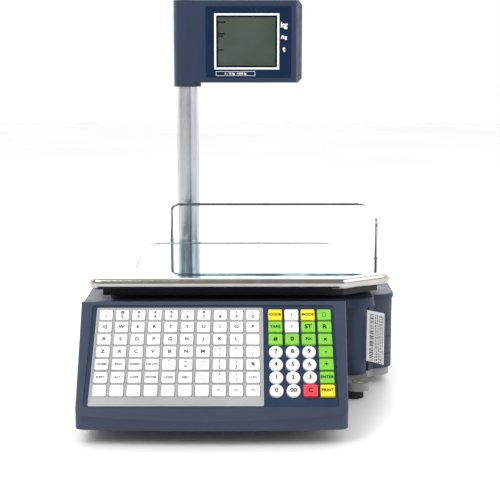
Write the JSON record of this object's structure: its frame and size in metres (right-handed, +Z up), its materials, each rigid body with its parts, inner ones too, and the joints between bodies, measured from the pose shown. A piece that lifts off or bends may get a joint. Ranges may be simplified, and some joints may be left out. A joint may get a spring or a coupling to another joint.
{
  "type": "retail price scale",
  "caption": "Counter price scale with a stainless pan on a load cell, a sloped preset keyboard, a side label printer and a swivelling two-sided display on a column.",
  "frame": {"origin": "on the counter surface, in the middle of the whole footprint, 40.75 mm in front of the pan's centre", "axes": "+Z up, -Y towards the operator, +X towards the label printer"},
  "size_m": [0.397, 0.4878, 0.5025],
  "materials": {
    "navy_plastic": "fine moulded texture",
    "slate_plastic": "fine moulded texture",
    "keypad_blue": "satin",
    "grey_plastic": "satin",
    "key_white": "satin",
    "key_green": "satin",
    "key_yellow": "satin",
    "key_red": "satin",
    "cast_aluminium": "painted grey, cast texture",
    "black_casting": "black coating",
    "load_cell_alloy": "machined",
    "stainless_steel": "polished",
    "column_metal": "satin anodised",
    "zinc_steel": "plated",
    "black_rubber": "matte",
    "black_plastic": "satin",
    "gear_plastic": "satin",
    "motor_steel": "plated",
    "level_fluid": "clear",
    "window_navy": "gloss",
    "lcd_glass": "satin",
    "circuit_board": "satin",
    "label_paper": "matte"
  },
  "bodies": {
    "root": {"main_housing": "navy_plastic", "console_housing": "navy_plastic", "console_base": "navy_plastic", "top_cover": "navy_plastic", "printer_front_cover": "navy_plastic", "column_collar": "navy_plastic", "keypad_fascia": "keypad_blue", "preset_frame": "grey_plastic", "base_casting": "cast_aluminium", "load_cell": "load_cell_alloy", "column": "column_metal", "housing_screws": "zinc_steel", "load_cell_bolts": "zinc_steel", "door_hinge_pin": "zinc_steel", "key_mat": "black_rubber", "printer_frame": "black_plastic", "power_inlet": "black_plastic", "swivel_bushes": "black_plastic", "feed_motor": "motor_steel", "spirit_level": "level_fluid", "keyboard_board": "circuit_board", "main_board": "circuit_board", "power_supply": "circuit_board"},
    "display_head": {"display_front_housing": "navy_plastic", "display_rear_housing": "navy_plastic", "operator_window": "window_navy", "customer_window": "window_navy", "lcd_panels": "lcd_glass", "display_board": "circuit_board"},
    "carrier": {"pan_carrier": "black_casting", "carrier_pads": "black_rubber"},
    "pan": {"weighing_pan": "stainless_steel", "guard_rail": "stainless_steel", "rail_nuts": "zinc_steel"},
    "door": {"printer_door": "slate_plastic"},
    "button": {"release_button": "black_plastic"},
    "platen": {"platen_roller": "black_rubber", "platen_gear": "gear_plastic"},
    "idler": {"idler_gear": "gear_plastic"},
    "pinion": {"motor_pinion": "gear_plastic"},
    "roll": {"label_roll": "label_paper"},
    "label": {"printed_label": "label_paper"},
    "head": {"print_head": "black_plastic"},
    "rocker": {"power_switch": "black_plastic"},
    "front_left_leg": {"front_left_foot": "black_rubber"},
    "front_right_leg": {"front_right_foot": "black_rubber"},
    "rear_left_leg": {"rear_left_foot": "black_rubber"},
    "rear_right_leg": {"rear_right_foot": "black_rubber"},
    "preset_keys_row_1_body": {"preset_keys_row_1": "key_white"},
    "preset_keys_row_2_body": {"preset_keys_row_2": "key_white"},
    "preset_keys_row_3_body": {"preset_keys_row_3": "key_white"},
    "preset_keys_row_4_body": {"preset_keys_row_4": "key_white"},
    "preset_keys_row_5_body": {"preset_keys_row_5": "key_white"},
    "preset_keys_row_6_body": {"preset_keys_row_6": "key_white"},
    "preset_keys_row_7_body": {"preset_keys_row_7": "key_white"},
    "digit_and_arrow_keys_body": {"digit_and_arrow_keys": "key_white"},
    "function_keys_body": {"function_keys": "key_green"},
    "mode_keys_body": {"mode_keys": "key_yellow"},
    "clear_key_body": {"clear_key": "key_red"},
    "print_key_body": {"print_key": "key_yellow"}
  },
  "joints": [
    {"name": "preset_keys_row_1_press", "type": "slide", "parent": "root", "child": "preset_keys_row_1_body", "axis": [0, 0.6769, -0.7361], "range_m": [0, 0.0018], "stiffness_N_per_m": 250, "springref_m": -0.002},
    {"name": "preset_keys_row_2_press", "type": "slide", "parent": "root", "child": "preset_keys_row_2_body", "axis": [0, 0.6769, -0.7361], "range_m": [0, 0.0018], "stiffness_N_per_m": 250, "springref_m": -0.002},
    {"name": "preset_keys_row_3_press", "type": "slide", "parent": "root", "child": "preset_keys_row_3_body", "axis": [0, 0.6769, -0.7361], "range_m": [0, 0.0018], "stiffness_N_per_m": 250, "springref_m": -0.002},
    {"name": "preset_keys_row_4_press", "type": "slide", "parent": "root", "child": "preset_keys_row_4_body", "axis": [0, 0.6769, -0.7361], "range_m": [0, 0.0018], "stiffness_N_per_m": 250, "springref_m": -0.002},
    {"name": "preset_keys_row_5_press", "type": "slide", "parent": "root", "child": "preset_keys_row_5_body", "axis": [0, 0.6769, -0.7361], "range_m": [0, 0.0018], "stiffness_N_per_m": 250, "springref_m": -0.002},
    {"name": "preset_keys_row_6_press", "type": "slide", "parent": "root", "child": "preset_keys_row_6_body", "axis": [0, 0.6769, -0.7361], "range_m": [0, 0.0018], "stiffness_N_per_m": 250, "springref_m": -0.002},
    {"name": "preset_keys_row_7_press", "type": "slide", "parent": "root", "child": "preset_keys_row_7_body", "axis": [0, 0.6769, -0.7361], "range_m": [0, 0.0018], "stiffness_N_per_m": 250, "springref_m": -0.002},
    {"name": "digit_and_arrow_keys_press", "type": "slide", "parent": "root", "child": "digit_and_arrow_keys_body", "axis": [0, 0.6769, -0.7361], "range_m": [0, 0.0018], "stiffness_N_per_m": 250, "springref_m": -0.002},
    {"name": "function_keys_press", "type": "slide", "parent": "root", "child": "function_keys_body", "axis": [0, 0.6769, -0.7361], "range_m": [0, 0.0018], "stiffness_N_per_m": 250, "springref_m": -0.002},
    {"name": "mode_keys_press", "type": "slide", "parent": "root", "child": "mode_keys_body", "axis": [0, 0.6769, -0.7361], "range_m": [0, 0.0018], "stiffness_N_per_m": 250, "springref_m": -0.002},
    {"name": "clear_key_press", "type": "slide", "parent": "root", "child": "clear_key_body", "axis": [0, 0.6769, -0.7361], "range_m": [0, 0.0018], "stiffness_N_per_m": 250, "springref_m": -0.002},
    {"name": "print_key_press", "type": "slide", "parent": "root", "child": "print_key_body", "axis": [0, 0.6769, -0.7361], "range_m": [0, 0.0018], "stiffness_N_per_m": 250, "springref_m": -0.002},
    {"name": "weighing_deflection", "type": "slide", "parent": "root", "child": "carrier", "axis": [0, 0, -1], "range_m": [0, 0.0004], "stiffness_N_per_m": 60000, "springref_m": -0.0006, "deforming": ["load_cell"]},
    {"name": "pan_lift", "type": "slide", "parent": "carrier", "child": "pan", "axis": [0, 0, 1], "range_m": [0, 0.05]},
    {"name": "printer_door", "type": "hinge", "parent": "root", "child": "door", "pos_m": [0.1942, 0.16625, 0.067], "axis": [0, 0, 1], "range_deg": [0, 95]},
    {"name": "release_button", "type": "slide", "parent": "root", "child": "button", "axis": [0, 1, 0], "range_m": [0, 0.0025], "stiffness_N_per_m": 60, "springref_m": -0.002},
    {"name": "label_roll_turn", "type": "hinge", "parent": "root", "child": "roll", "pos_m": [0.146, 0.10275, 0.0685], "axis": [0, 0, 1], "continuous": true},
    {"name": "platen_turn", "type": "hinge", "parent": "root", "child": "platen", "pos_m": [0.15594, -0.00111, 0.067], "axis": [0, 0, 1], "continuous": true},
    {"name": "idler_turn", "type": "hinge", "parent": "root", "child": "idler", "pos_m": [0.15219, 0.02016, 0.032], "axis": [0, 0, 1], "continuous": true},
    {"name": "motor_pinion_turn", "type": "hinge", "parent": "root", "child": "pinion", "pos_m": [0.13764, 0.02856, 0.032], "axis": [0, 0, 1], "continuous": true},
    {"name": "label_feed", "type": "slide", "parent": "root", "child": "label", "axis": [0.7071, -0.7071, 0], "range_m": [0, 0.03]},
    {"name": "print_head_open", "type": "hinge", "parent": "root", "child": "head", "pos_m": [0.12757, 0.00446, 0.067], "axis": [0, 0, 1], "range_deg": [-10, 0]},
    {"name": "display_swivel", "type": "hinge", "parent": "root", "child": "display_head", "pos_m": [-0.079, 0.21475, 0.44], "axis": [0, 0, 1], "range_deg": [-90, 90]},
    {"name": "power_rocker", "type": "hinge", "parent": "root", "child": "rocker", "pos_m": [0.04, 0.23675, 0.052], "axis": [-1, 0, 0], "range_deg": [0, 16]},
    {"name": "front_left_foot_turn", "type": "hinge", "parent": "root", "child": "front_left_leg", "pos_m": [-0.15, -0.06925, 0], "axis": [0, 0, 1], "continuous": true},
    {"name": "front_right_foot_turn", "type": "hinge", "parent": "root", "child": "front_right_leg", "pos_m": [0.141, -0.05825, 0], "axis": [0, 0, 1], "continuous": true},
    {"name": "rear_left_foot_turn", "type": "hinge", "parent": "root", "child": "rear_left_leg", "pos_m": [-0.16, 0.20575, 0], "axis": [0, 0, 1], "continuous": true},
    {"name": "rear_right_foot_turn", "type": "hinge", "parent": "root", "child": "rear_right_leg", "pos_m": [0.165, 0.20575, 0], "axis": [0, 0, 1], "continuous": true}
  ],
  "couplings": [
    {"joint": "platen_turn", "follows": "label_roll_turn", "ratio": 5.625},
    {"joint": "idler_turn", "follows": "label_roll_turn", "ratio": -4.5},
    {"joint": "motor_pinion_turn", "follows": "label_roll_turn", "ratio": 11.25}
  ]
}
